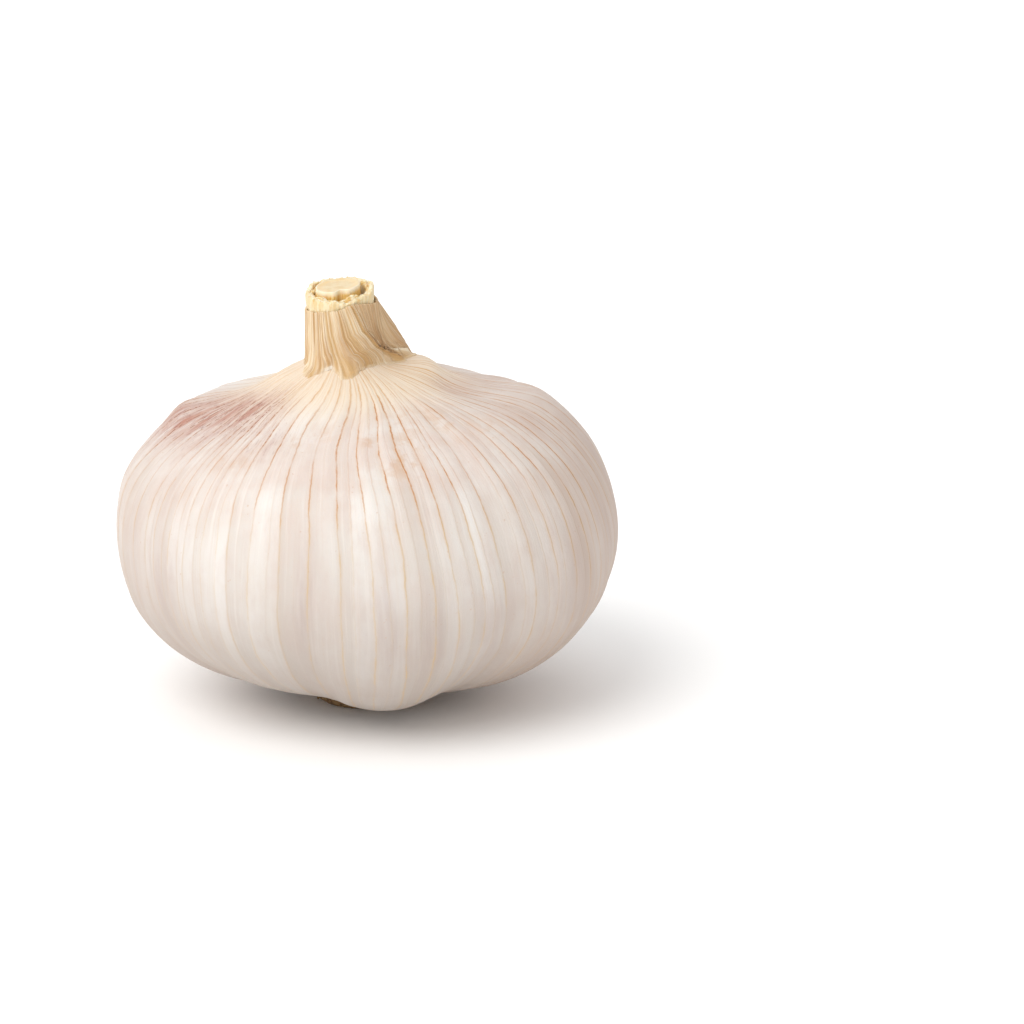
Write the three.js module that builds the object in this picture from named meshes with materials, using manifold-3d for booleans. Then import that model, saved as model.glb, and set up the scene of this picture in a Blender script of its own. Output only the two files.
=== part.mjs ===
// A garlic bulb with its cut neck, standing on its root plate.
//
// Millimetres, +Z up. The origin is the middle of the flat underside of the root plate. The front
// is -Y and the right side is +X. Angles round the bulb are in degrees from +X, so 270 is the front.

import * as THREE from 'three';
import { mergeVertices } from 'three/addons/utils/BufferGeometryUtils.js';
import Module from 'manifold-3d';

const wasm = await Module();
wasm.setup();

// Driving dimensions

const SHOULDER_HEIGHT = 38.4;
const NECK_AXIS = new THREE.Vector2(-2.9, -2.0);   // the neck stands a little left and forward of the middle
const NECK_RADIUS = 3.8;                            // outside of the leaf sheaths at their cut top
const LAYER_WALL = 0.6;
const LAYER_GAP = 0.2;
const AXIS_LEAN = 2.5;                              // power of the height at which the axis moves to the neck
const STUB_TOP = 40.8;
const SCAPE_RADIUS = 2.2;
const SCAPE_TOP = 47.2;
const SCAPE_FOOT = 34.7;
const SCAPE_DENTS = [[276, 16, 0.16], [90, 60, 0.05]];     // angle, width and share of the radius
const SCAPE_COLUMNS = 40;
const PLATE_RADIUS = 6.9;
const PLATE_TOP = 2.2;
const PLATE_EDGE = [[0.9, 0], [0.2, 0.35], [0, 0.9], [0.3, 1.6], [0.8, PLATE_TOP]];   // inset and height
const PLATE_SEGMENTS = 36;
const PLATE_SEED = 23;
const ROOT_COUNT = 32;
const ROOT_LENGTH = [1.7, 2.5];                     // shortest and longest stub, with its sunk end
const ROOT_RADIUS = [0.36, 0.48];
const ROOT_TAPER = 0.7;                             // tip's share of the radius
const ROOT_SIDES = 5;
const ROOT_SUNK = 1.4;
const ROOT_HEIGHT = [0.75, 1.0];                    // the two rings that the stubs stand in
const FULL_TURN = 360;

// Half outline of the wrapped bulb, radius and height, from the lip round the root plate up to the neck

const BODY_OUTLINE = [
  [7.6, 2.4], [10.4, 1.8], [14.2, 2.6], [18.6, 4.8], [22.8, 8.2], [26.2, 12.7], [27.7, 18.0], [27.1, 23.6],
  [24.7, 28.4], [20.4, 32.1], [14.8, 34.7], [9.6, 36.5], [6.4, 37.8], [4.4, 38.7], [3.4, 39.7],
  [3.0, STUB_TOP],
];

// Where neighbouring cloves meet: angle, width, and the depth near the base, at the middle and at the
// shoulder, as a share of the radius

const GROOVES = [
  [252, 13, 0.06, 0.016, 0.012], [209, 12, 0.05, 0.03, 0.02], [158, 12, 0.07, 0.035, 0.05],
  [118, 13, 0.07, 0.03, 0.06], [80, 13, 0.07, 0.03, 0.06], [38, 13, 0.07, 0.03, 0.06],
  [352, 12, 0.07, 0.02, 0.05], [302, 12, 0.09, 0.008, 0.045],
];

// Cloves that stand out more than the rest, in the same terms

const LOBES = [
  [278, 22, 0.035, 0, 0], [230, 16, 0.03, 0, 0], [200, 22, 0.105, 0, 0], [350, 30, 0.05, 0.014, 0],
  [18, 20, 0, 0, 0.05], [60, 20, 0, 0, 0.05], [176, 17, 0, -0.012, 0.06], [138, 16, 0, 0, 0.04],
];

// Clove tips that press the skin up on the shoulder, and hollows beside them: angle, width, radius, spread of
// the radius, millimetres

const KNUCKLES = [
  [160, 26, 17.5, 3.2, 1.6], [158, 34, 11, 3.5, -1.2], [168, 30, 25, 3, -0.7],
  [18, 26, 21.5, 3.2, 0.5], [12, 30, 15.5, 3.2, -0.9], [352, 14, 13, 3.5, -0.5], [15, 45, 8.5, 2.8, 1.5],
];
const KNUCKLE_SLOPE = 0.6;              // share of a knuckle that goes outwards, the rest going up

const LOBES_FADE = [5.5, 14];           // radii between which lobes and ribs grow from nothing to full
const RIB_COUNT = 40;
const RIB_HEIGHT = 0.13;
const RIBS_START = [2.5, 6.5];          // heights between which they grow at the base
const COLUMNS_PER_RIB = 3;
const BODY_ROWS = 26;

// The right shoulder is higher than the left one, and a groove lifts the underside where it crosses it

const SHOULDER_TILT = 1.55;
const TILT_HEIGHTS = [7.7, 38.4];       // grows between these heights
const TILT_RADII = [7, 20];             // and these radii
const GROOVE_LIFT = 8;
const UNDERSIDE_LIFT = [[228, 24, 1.3], [320, 14, 0.8]];      // angle, width, millimetres

// Leaf sheaths round the neck: angle, reach of the torn foot from the neck's axis, and how late the wall
// flares out on its way down, 1 for a straight tent

const FRONT_FOOT = [
  [150, 4.6, 3.5], [180, 4.3, 5], [205, 5.0, 5], [226, 6.0, 4.5], [245, 5.3, 4.5], [264, 6.2, 4],
  [286, 5.5, 3.5], [312, 6.1, 2.5], [341, 7.6, 1.6],
];
const REAR_FOOT = [
  [292, 5.2, 2.2], [330, 7.2, 1.2], [350, 7.7, 0.95], [385, 7.5, 1], [420, 6.6, 1.3], [460, 5.6, 2],
  [506, 4.8, 3.5],
];
const RIM_HEIGHT = [
  [150, 46.9], [180, 46.1], [255, 45.2], [292, 45.9], [360, 45.6], [420, 46.4], [510, 46.9],
];
const INNER_RIM_HEIGHT = [
  [0, 47.3], [50, 47.8], [110, 47.3], [180, 46.4], [270, 46.1], [320, 46.6], [360, 47.3],
];
const WRAP_START = 150;
const WRAP_EDGE_TOP = 292;      // the front sheath's free edge runs from here at the rim
const WRAP_EDGE_FOOT = 341;     // to here at the foot
const EDGE_CLEARANCE = 4;
const FIBRE_SPACING = 9;        // degrees between two strong fibres
const FIBRE_HEIGHT = 0.12;
const COLUMNS_PER_FIBRE = 3;
const COLUMNS_PER_STRIP = 4;    // the foot is torn in strips about this wide
const STRIP_SHARE = 0.75;       // how far a strip's own depth rules the tear within it
const TEAR_DEPTH = 0.14;        // share of the sheath's height
const NICK_DEPTH = 0.03;
const FRONT_SHEATH = { foot: FRONT_FOOT, seed: 5, rows: 7 };
const REAR_SHEATH = { foot: REAR_FOOT, seed: 8, rows: 6 };
const INNER_TEAR_DEPTH = 0.5;
const INNER_COLUMNS = 45;
const INNER_SEED = 11;

// Shared rules

function seededRandom(seed) {
  let state = seed;
  return () => {
    state = (state * 1664525 + 1013904223) % 4294967296;
    return state / 4294967296;
  };
}

const { clamp, degToRad, euclideanModulo, lerp, radToDeg, smoothstep } = THREE.MathUtils;

function bell(angle, centre, width) {
  const away = euclideanModulo(angle - centre + FULL_TURN / 2, FULL_TURN) - FULL_TURN / 2;
  return Math.exp(-((away / width) ** 2));
}

// Smooth value between the rows of a list whose first entry is an angle

function between(list, angle, entry) {
  const after = list.findIndex((row) => row[0] >= angle);
  if (after <= 0) return after === 0 ? list[0][entry] : list[list.length - 1][entry];
  const [from, to] = [list[after - 1], list[after]];
  return lerp(from[entry], to[entry], smoothstep(angle, from[0], to[0]));
}

// The bulb's axis leans: its middle moves from the origin at the base to the neck's axis at the shoulder

function axisAt(height) {
  const share = clamp(height / SHOULDER_HEIGHT, 0, 1) ** AXIS_LEAN;
  return new THREE.Vector2(NECK_AXIS.x * share, NECK_AXIS.y * share);
}

// Point of the wrapped bulb for a radius and height of its outline, swollen over cloves, drawn in between

function bodyPoint(radius, height, angle, ribShare) {
  const rise = clamp(height / SHOULDER_HEIGHT, 0, 1);
  const low = 1 - smoothstep(rise, 0, 0.5);
  const high = smoothstep(rise, 0.5, 1);
  const middle = 1 - low - high;
  const shareOf = ([centre, width, atBase, atMiddle, atShoulder]) =>
    (atBase * low + atMiddle * middle + atShoulder * high) * bell(angle, centre, width);
  const drawnIn = GROOVES.reduce((sum, groove) => sum + shareOf(groove), 0);
  const swollen = LOBES.reduce((sum, lobe) => sum + shareOf(lobe), 0);
  const fade = smoothstep(radius, ...LOBES_FADE);
  const turn = degToRad(angle);
  const rib = RIB_HEIGHT * ribShare * fade * Math.cos(RIB_COUNT * turn);
  const knuckle = high * KNUCKLES.reduce((sum, [centre, width, middleRadius, spread, amount]) =>
    sum + amount * bell(angle, centre, width) * Math.exp(-(((radius - middleRadius) / spread) ** 2)), 0);
  const reach = radius * (1 + (swollen - drawnIn) * fade) + rib + KNUCKLE_SLOPE * knuckle;
  const tiltShare = smoothstep(height, ...TILT_HEIGHTS) * smoothstep(radius, ...TILT_RADII);
  const tilt = SHOULDER_TILT * Math.cos(turn) * tiltShare;
  const raised = UNDERSIDE_LIFT.reduce((sum, [centre, width, amount]) =>
    sum + amount * bell(angle, centre, width), 0);
  const lift = (GROOVE_LIFT * drawnIn + raised) * low * fade + (1 - KNUCKLE_SLOPE) * knuckle;
  const axis = axisAt(height);
  return new THREE.Vector3(
    axis.x + reach * Math.cos(turn),
    axis.y + reach * Math.sin(turn),
    height + tilt + lift,
  );
}

const toPoints = (rows) => rows.map(([radius, height]) => new THREE.Vector2(radius, height));
const bodyCurve = new THREE.SplineCurve(toPoints(BODY_OUTLINE));

// Height of the shoulder above or below a place near the neck, found by halving the stretch of outline

function shoulderHeight(x, y) {
  let outer = 0.6;
  let inner = 1;
  let point = null;
  for (let step = 0; step < 24; step += 1) {
    const share = (outer + inner) / 2;
    const onCurve = bodyCurve.getPoint(share);
    const axis = axisAt(onCurve.y);
    const angle = radToDeg(Math.atan2(y - axis.y, x - axis.x));
    point = bodyPoint(onCurve.x, onCurve.y, angle, 0);
    const tooFar = Math.hypot(point.x - axis.x, point.y - axis.y) > Math.hypot(x - axis.x, y - axis.y);
    if (tooFar) outer = share;
    else inner = share;
  }
  return point.z;
}

// Lathe with its axis along Z, each vertex then moved by a rule of its radius, height and angle

function shapedLathe(outline, segments, place) {
  const geometry = new THREE.LatheGeometry(toPoints(outline), segments);
  geometry.rotateX(Math.PI / 2);
  const position = geometry.attributes.position;
  for (let index = 0; index < position.count; index += 1) {
    const [x, y, z] = [position.getX(index), position.getY(index), position.getZ(index)];
    const angle = euclideanModulo(radToDeg(Math.atan2(y, x)), FULL_TURN);
    const moved = place(Math.hypot(x, y), z, angle);
    position.setXYZ(index, moved.x, moved.y, moved.z);
  }
  return welded(geometry);
}

function welded(geometry) {
  geometry.deleteAttribute('normal');
  geometry.deleteAttribute('uv');
  return mergeVertices(geometry, 1e-4);
}

// Closed sheet from two skins over the same grid: skin(u, v, side) is the outer one for side 0

function sheetGeometry(columns, rows, skin) {
  const positions = [];
  for (const side of [0, 1]) {
    for (let row = 0; row <= rows; row += 1) {
      for (let column = 0; column <= columns; column += 1) {
        positions.push(...skin(column / columns, row / rows, side).toArray());
      }
    }
  }
  const at = (column, row, side) => side * (rows + 1) * (columns + 1) + row * (columns + 1) + column;
  const triangles = [];
  const quad = (a, b, c, d) => triangles.push(a, b, c, a, c, d);
  for (let row = 0; row < rows; row += 1) {
    for (let column = 0; column < columns; column += 1) {
      quad(at(column, row, 0), at(column, row + 1, 0), at(column + 1, row + 1, 0), at(column + 1, row, 0));
      quad(at(column, row, 1), at(column + 1, row, 1), at(column + 1, row + 1, 1), at(column, row + 1, 1));
    }
    quad(at(0, row, 0), at(0, row, 1), at(0, row + 1, 1), at(0, row + 1, 0));
    quad(at(columns, row, 0), at(columns, row + 1, 0), at(columns, row + 1, 1), at(columns, row, 1));
  }
  for (let column = 0; column < columns; column += 1) {
    quad(at(column, 0, 0), at(column + 1, 0, 0), at(column + 1, 0, 1), at(column, 0, 1));
    quad(at(column, rows, 0), at(column, rows, 1), at(column + 1, rows, 1), at(column + 1, rows, 0));
  }
  const geometry = new THREE.BufferGeometry();
  geometry.setAttribute('position', new THREE.Float32BufferAttribute(positions, 3));
  geometry.setIndex(triangles);
  return geometry;
}

// Wrapped bulb: recess over the root plate, lobed sides, neck stub and the blind hole for the stalk

function onNeck(radius, height, angle) {
  const turn = degToRad(angle);
  const [x, y] = [radius * Math.cos(turn), radius * Math.sin(turn)];
  return new THREE.Vector3(NECK_AXIS.x + x, NECK_AXIS.y + y, height);
}

function makeBody() {
  const boreRadius = SCAPE_RADIUS + LAYER_GAP;
  const boreFloor = SCAPE_FOOT - LAYER_GAP;
  const recess = BODY_OUTLINE[0][1];
  const slack = 0.01;
  const sides = bodyCurve.getPoints(BODY_ROWS).map((point) => [point.x, point.y]);
  const outline = [[0, recess], ...sides, [boreRadius, STUB_TOP], [boreRadius, boreFloor], [0, boreFloor]];
  return shapedLathe(outline, RIB_COUNT * COLUMNS_PER_RIB, (radius, height, angle) => {
    const inBore = radius < boreRadius + slack && height > boreFloor - slack;
    if (inBore) return onNeck(radius, height, angle);
    return bodyPoint(radius, height, angle, smoothstep(height, ...RIBS_START));
  });
}

// Flower stalk: kidney-shaped bar with a flat cut end

function makeScape() {
  const outline = new THREE.Shape();
  for (let column = 0; column < SCAPE_COLUMNS; column += 1) {
    const angle = (column * FULL_TURN) / SCAPE_COLUMNS;
    const dent = SCAPE_DENTS.reduce((sum, [centre, width, share]) =>
      sum + share * bell(angle, centre, width), 0);
    const { x, y } = onNeck(SCAPE_RADIUS * (1 - dent), 0, angle);
    if (column === 0) outline.moveTo(x, y);
    else outline.lineTo(x, y);
  }
  outline.closePath();
  const depth = SCAPE_TOP - SCAPE_FOOT;
  const geometry = new THREE.ExtrudeGeometry(outline, { depth, steps: 1, bevelEnabled: false });
  geometry.translate(0, 0, SCAPE_FOOT);
  return welded(geometry);
}

// Inner sheath: a ring on the neck stub with a torn rim

function makeInnerSheath() {
  const random = seededRandom(INNER_SEED);
  const outer = NECK_RADIUS - LAYER_WALL - LAYER_GAP;
  const inner = outer - LAYER_WALL;
  const foot = STUB_TOP + LAYER_GAP;
  const tears = Array.from({ length: INNER_COLUMNS }, () => INNER_TEAR_DEPTH * random() ** 2);
  const outline = [[inner, foot], [outer, foot], [outer, SCAPE_TOP], [inner, SCAPE_TOP], [inner, foot]];
  return shapedLathe(outline, INNER_COLUMNS, (radius, height, angle) => {
    const tear = tears[Math.round((angle * INNER_COLUMNS) / FULL_TURN) % INNER_COLUMNS];
    const rim = between(INNER_RIM_HEIGHT, angle, 1) - tear;
    return onNeck(radius, height === foot ? foot : rim, angle);
  });
}

// Middle surface of a leaf sheath: down the neck, then flaring out to its foot on the shoulder

function sheathSurface(foot, angle, drop) {
  const reach = between(foot, angle, 1) - LAYER_WALL / 2;
  const lateness = between(foot, angle, 2);
  const topRadius = NECK_RADIUS - LAYER_WALL / 2;
  const { x, y } = onNeck(reach, 0, angle);
  const footHeight = shoulderHeight(x, y) + LAYER_WALL / 2 + 2 * LAYER_GAP;
  const radius = topRadius + (reach - topRadius) * drop ** lateness;
  return onNeck(radius, lerp(between(RIM_HEIGHT, angle, 1), footHeight, drop), angle);
}

function makeSheath({ foot, seed, rows }, angleAcross) {
  const random = seededRandom(seed);
  const fibres = Math.ceil((angleAcross(1, 0) - angleAcross(0, 0)) / FIBRE_SPACING);
  const columns = fibres * COLUMNS_PER_FIBRE;
  const strips = Array.from({ length: columns + 1 }, () => random());
  const tears = Array.from({ length: columns + 1 }, (unused, column) => {
    const depth = lerp(random(), strips[Math.floor(column / COLUMNS_PER_STRIP)], STRIP_SHARE);
    return [NICK_DEPTH * random(), 1 - TEAR_DEPTH * depth];
  });
  const [smallTurn, smallDrop] = [1, 0.01];
  return sheetGeometry(columns, rows, (u, v, side) => {
    const [nick, tear] = tears[Math.round(u * columns)];
    const drop = lerp(nick, tear, v);
    const angle = angleAcross(u, drop);
    const point = sheathSurface(foot, angle, drop);
    const round = sheathSurface(foot, angle + smallTurn, drop).sub(point);
    const down = sheathSurface(foot, angle, drop + smallDrop).sub(point);
    const outward = down.cross(round).normalize();
    const fibre = FIBRE_HEIGHT * Math.cos(2 * Math.PI * fibres * u);
    return point.addScaledVector(outward, side === 0 ? LAYER_WALL / 2 + fibre : -LAYER_WALL / 2);
  });
}

// The fibres run straight down, but lean with the free edge where they come near it

function edgeLean(drop) {
  return (WRAP_EDGE_FOOT - WRAP_EDGE_TOP) * (1 - (1 - drop) ** 2);
}

function makeFrontSheath() {
  const across = (u, drop) => lerp(WRAP_START, WRAP_EDGE_TOP, u) + edgeLean(drop) * u ** 3;
  return makeSheath(FRONT_SHEATH, across);
}

function makeRearSheath() {
  const start = WRAP_EDGE_TOP + EDGE_CLEARANCE;
  const end = WRAP_START + FULL_TURN - EDGE_CLEARANCE;
  const across = (u, drop) => lerp(start, end, u) + edgeLean(drop) * (1 - u) ** 3;
  return makeSheath(REAR_SHEATH, across);
}

// Root plate: a low corky disc, with trimmed root stubs that grow out of its side

function toSolid(geometry) {
  const merged = welded(geometry);
  return new wasm.Manifold(new wasm.Mesh({
    numProp: 3,
    vertProperties: Float32Array.from(merged.attributes.position.array),
    triVerts: Uint32Array.from(merged.index.array),
  }));
}

function toGeometry(solid) {
  const mesh = solid.getMesh();
  const geometry = new THREE.BufferGeometry();
  geometry.setAttribute('position', new THREE.BufferAttribute(Float32Array.from(mesh.vertProperties), 3));
  geometry.setIndex(Array.from(mesh.triVerts));
  return geometry;
}

function makeRootPlate() {
  const edge = PLATE_EDGE.map(([inset, height]) => [PLATE_RADIUS - inset, height]);
  const profile = toPoints([[0, 0], ...edge, [0, PLATE_TOP]]);
  const random = seededRandom(PLATE_SEED);
  let plate = toSolid(new THREE.LatheGeometry(profile, PLATE_SEGMENTS).rotateX(Math.PI / 2));
  for (let index = 0; index < ROOT_COUNT; index += 1) {
    const length = lerp(...ROOT_LENGTH, random());
    const thickness = lerp(...ROOT_RADIUS, random());
    const stub = new THREE.CylinderGeometry(ROOT_TAPER * thickness, thickness, length, ROOT_SIDES);
    stub.translate(0, length / 2, 0);
    stub.rotateZ(-Math.PI / 2);
    stub.translate(PLATE_RADIUS - ROOT_SUNK, 0, ROOT_HEIGHT[index % 2]);
    stub.rotateZ((2 * Math.PI * (index + 0.5 * random())) / ROOT_COUNT);
    plate = plate.add(toSolid(stub));
  }
  return toGeometry(plate);
}

// The assembly

const group = new THREE.Group();

function addMesh(name, geometry, color, roughness) {
  const mesh = new THREE.Mesh(geometry, new THREE.MeshStandardMaterial({ color, roughness, metalness: 0 }));
  mesh.name = name;
  group.add(mesh);
}

addMesh('bulb_body', makeBody(), 0xf0e2d8, 0.6);
addMesh('scape', makeScape(), 0xf5e0b8, 0.55);
addMesh('inner_sheath', makeInnerSheath(), 0xeed9ad, 0.75);
addMesh('front_sheath', makeFrontSheath(), 0xe2c294, 0.7);
addMesh('rear_sheath', makeRearSheath(), 0xc9a277, 0.7);
addMesh('root_plate', makeRootPlate(), 0xb08d62, 0.9);

export default group;
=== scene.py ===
# Garlic bulb on a pale floor. Metres in the scene; shapes are worked out in millimetres and scaled once.
import math

import bpy
import numpy as np
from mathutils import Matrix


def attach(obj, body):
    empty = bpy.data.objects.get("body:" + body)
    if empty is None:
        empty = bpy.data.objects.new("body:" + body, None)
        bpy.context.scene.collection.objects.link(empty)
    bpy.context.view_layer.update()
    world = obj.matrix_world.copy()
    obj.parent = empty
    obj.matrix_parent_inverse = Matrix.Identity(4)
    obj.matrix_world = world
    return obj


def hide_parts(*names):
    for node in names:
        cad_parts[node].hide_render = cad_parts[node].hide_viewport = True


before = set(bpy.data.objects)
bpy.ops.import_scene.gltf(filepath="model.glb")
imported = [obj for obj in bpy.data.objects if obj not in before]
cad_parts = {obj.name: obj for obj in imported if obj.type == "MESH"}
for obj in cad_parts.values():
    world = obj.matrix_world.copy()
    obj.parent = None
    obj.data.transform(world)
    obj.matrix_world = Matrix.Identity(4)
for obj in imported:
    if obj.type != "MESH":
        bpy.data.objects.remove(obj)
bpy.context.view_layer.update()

mm = 0.001
body = "root"


# Small helpers for shapes

def smoothstep(x, start, end):
    # 0 before start, 1 after end, 3t^2 - 2t^3 in between
    t = np.clip((x - start) / (end - start), 0, 1)
    return t * t * (3 - 2 * t)


def bell(angle, centre, width):
    # exp(-(away / width)^2), away measured round the circle in degrees
    away = (angle - centre + 180) % 360 - 180
    return np.exp(-(away / width) ** 2)


def between(table, angle, entry):
    # smooth value between the rows of a table whose first column is an angle
    rows = np.array(table, float)
    after = np.clip(np.searchsorted(rows[:, 0], angle), 1, len(rows) - 1)
    before = after - 1
    t = smoothstep(angle, rows[before, 0], rows[after, 0])
    return rows[before, entry] * (1 - t) + rows[after, entry] * t


def splinePoint(points, share):
    # uniform Catmull-Rom curve through the points, the end ones repeated, share running from 0 to 1
    last = len(points) - 1
    place = np.clip(share, 0, 1) * last
    index = np.minimum(place.astype(int), last - 1)
    w = (place - index)[..., None]
    a, b = points[np.maximum(index - 1, 0)], points[index]
    c, d = points[index + 1], points[np.minimum(index + 2, last)]
    leave, arrive = (c - a) / 2, (d - b) / 2
    cubic = (2 * b - 2 * c + leave + arrive) * w ** 3
    return cubic + (3 * c - 3 * b - 2 * leave - arrive) * w ** 2 + leave * w + b


def softNoise(seed, size, spread):
    # random row, blurred by a bell of the given spread in steps and scaled to a standard deviation of 1
    rows = np.random.default_rng(seed).normal(size=size + 8 * int(spread + 1))
    reach = np.arange(-int(3 * spread + 1), int(3 * spread + 1) + 1)
    kernel = np.exp(-(reach / max(spread, 0.01)) ** 2 / 2)
    soft = np.convolve(rows, kernel / kernel.sum(), mode="same")[4 * int(spread + 1):][:size]
    return soft / soft.std()


def normalsOf(points, closed):
    # cross product of the grid's two directions, which are the rows and the columns
    along = np.gradient(points, axis=0)
    if closed:
        across = (np.roll(points, -1, axis=1) - np.roll(points, 1, axis=1)) / 2
    else:
        across = np.gradient(points, axis=1)
    cross = np.cross(across, along)
    return cross / np.maximum(np.linalg.norm(cross, axis=-1, keepdims=True), 1e-9)


# Small helpers for meshes

def makeMesh(name, points, quads, triangles, uvs, attributes):
    # quads and triangles are arrays of vertex numbers, uvs one pair for each corner in the same order
    mesh = bpy.data.meshes.new(name)
    corners = np.concatenate([quads.ravel(), triangles.ravel()]).astype(np.int32)
    starts = np.concatenate([np.arange(len(quads)) * 4, len(quads) * 4 + np.arange(len(triangles)) * 3])
    mesh.vertices.add(len(points))
    mesh.vertices.foreach_set("co", (points * mm).astype(np.float32).ravel())
    mesh.loops.add(len(corners))
    mesh.loops.foreach_set("vertex_index", corners)
    mesh.polygons.add(len(starts))
    mesh.polygons.foreach_set("loop_start", starts.astype(np.int32))
    mesh.polygons.foreach_set("use_smooth", np.ones(len(starts), bool))
    mesh.uv_layers.new(name="skinMap").data.foreach_set("uv", uvs.astype(np.float32).ravel())
    for key, values in attributes.items():
        layer = mesh.attributes.new(key, "FLOAT", "POINT")
        layer.data.foreach_set("value", values.astype(np.float32).ravel())
    mesh.update(calc_edges=True)
    mesh.validate()
    piece = bpy.data.objects.new(name, mesh)
    bpy.context.scene.collection.objects.link(piece)
    return piece


def gridQuads(rows, columns, closed):
    # two numbering grids: vertices, which wrap when closed, and UV corners, which do not
    r, c = np.meshgrid(np.arange(rows - 1), np.arange(columns if closed else columns - 1), indexing="ij")
    nextColumn = (c + 1) % columns
    row, below = r * columns, (r + 1) * columns
    quads = np.stack([row + c, row + nextColumn, below + nextColumn, below + c], -1)
    wide = columns + 1 if closed else columns
    corners = np.stack([r * wide + c, r * wide + c + 1, (r + 1) * wide + c + 1, (r + 1) * wide + c], -1)
    return quads.reshape(-1, 4), corners.reshape(-1, 4)


def endFans(rows, columns):
    # triangles from the first and the last ring to the two middle points that follow all the rings
    c = np.arange(columns)
    after = (c + 1) % columns
    last, total = (rows - 1) * columns, rows * columns
    low = np.stack([after, c, np.full(columns, total)], -1)
    high = np.stack([last + c, last + after, np.full(columns, total + 1)], -1)
    return np.concatenate([low, high])


def roundShell(name, points, uv, attributes):
    # closed surface of rings, the lowest first, with each end closed by a fan to its middle
    rows, columns = points.shape[:2]
    quads, corners = gridQuads(rows, columns, True)
    ends = np.stack([points[0].mean(axis=0), points[-1].mean(axis=0)])
    lowUv = np.stack([uv[0, 1:], uv[0, :-1], uv[0, :-1]], 1).reshape(-1, 2)
    highUv = np.stack([uv[-1, :-1], uv[-1, 1:], uv[-1, 1:]], 1).reshape(-1, 2)
    uvs = np.concatenate([uv.reshape(-1, 2)[corners].reshape(-1, 2), lowUv, highUv])
    filled = {}
    for key, values in attributes.items():
        filled[key] = np.append(values.ravel(), [values[0].mean(), values[-1].mean()])
    allPoints = np.concatenate([points.reshape(-1, 3), ends])
    return makeMesh(name, allPoints, quads, endFans(rows, columns), uvs, filled)


def thinSheet(name, outer, inner, uv, attributes):
    # two skins over one grid, joined round the rim: rows run down, columns anticlockwise seen from above
    rows, columns = outer.shape[:2]
    total = rows * columns
    front = gridQuads(rows, columns, False)[0]
    back = front[:, ::-1] + total
    c, r = np.arange(columns - 1), np.arange(rows - 1)
    top = np.stack([c + 1, c, c + total, c + 1 + total], -1)
    foot = np.stack([c, c + 1, c + 1 + total, c + total], -1) + (rows - 1) * columns
    left = np.stack([r * columns, (r + 1) * columns, (r + 1) * columns + total, r * columns + total], -1)
    right = left[:, ::-1] + columns - 1
    quads = np.concatenate([part[:, ::-1] for part in (front, back, top, foot, left, right)])
    flat = np.concatenate([uv.reshape(-1, 2), uv.reshape(-1, 2)])
    doubled = {key: np.concatenate([values.ravel(), values.ravel()]) for key, values in attributes.items()}
    points = np.concatenate([outer.reshape(-1, 3), inner.reshape(-1, 3)])
    noTriangles = np.zeros((0, 3), int)
    return makeMesh(name, points, quads, noTriangles, flat[quads].reshape(-1, 2), doubled)


def dress(piece, material, node):
    piece.data.materials.append(material)
    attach(piece, body)
    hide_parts(node)
    print("made", piece.name, "with", sum(len(p.vertices) - 2 for p in piece.data.polygons), "triangles")


# Small helpers for materials

def fromHex(code):
    # sRGB hex value to the linear colour that the shader works in
    parts = [int(code[i:i + 2], 16) / 255 for i in (1, 3, 5)]
    return [p / 12.92 if p <= 0.04045 else ((p + 0.055) / 1.055) ** 2.4 for p in parts] + [1.0]


def newMaterial(name, roughness, specular, subsurface, depth):
    material = bpy.data.materials.new(name)
    material.use_nodes = True
    tree = material.node_tree
    shader = tree.nodes["Principled BSDF"]
    shader.inputs["Roughness"].default_value = roughness
    shader.inputs["IOR"].default_value = 1.45
    shader.inputs["Specular IOR Level"].default_value = specular
    shader.inputs["Subsurface Weight"].default_value = subsurface
    shader.inputs["Subsurface Radius"].default_value = (1.0, 0.7, 0.45)
    shader.inputs["Subsurface Scale"].default_value = depth * mm
    return material, tree, shader


def addNode(tree, kind, settings=None, links=None):
    # settings set the node's own properties and unlinked sockets, links feed its sockets by name or number
    node = tree.nodes.new(kind)
    for key, value in (settings or {}).items():
        if isinstance(key, int) or key in node.inputs:
            node.inputs[key].default_value = value
        else:
            setattr(node, key, value)
    for key, source in (links or {}).items():
        tree.links.new(source, node.inputs[key])
    return node


# What the steps of a material are made of: kind of node, its properties, what a call gives in order, as
# sockets' numbers or properties, and the output that is read
materialSteps = {
    "attribute": ("ShaderNodeAttribute", {}, ("attribute_name",), "Fac"),
    "remap": ("ShaderNodeMapRange", {"interpolation_type": "SMOOTHSTEP"}, (0, 1, 2, 3, 4), 0),
    "blend": ("ShaderNodeMix", {"data_type": "RGBA"}, (0, 6, 7), 2),
    "between": ("ShaderNodeMix", {}, (0, 2, 3), 0),
    "multiply": ("ShaderNodeMath", {"operation": "MULTIPLY"}, (0, 1), 0),
    "add": ("ShaderNodeMath", {"operation": "ADD"}, (0, 1), 0),
    "subtract": ("ShaderNodeMath", {"operation": "SUBTRACT"}, (0, 1), 0),
    "size": ("ShaderNodeMath", {"operation": "ABSOLUTE"}, (0,), 0),
}


def feed(tree, step, *values):
    # each value is a number, a hex colour, an attribute's name or another node's socket
    kind, settings, places, output = materialSteps[step]
    settings, links = dict(settings), {}
    for place, value in zip(places, values):
        if isinstance(value, bpy.types.NodeSocket):
            links[place] = value
        else:
            settings[place] = fromHex(value) if str(value).startswith("#") else value
    return addNode(tree, kind, settings, links).outputs[output]


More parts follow.
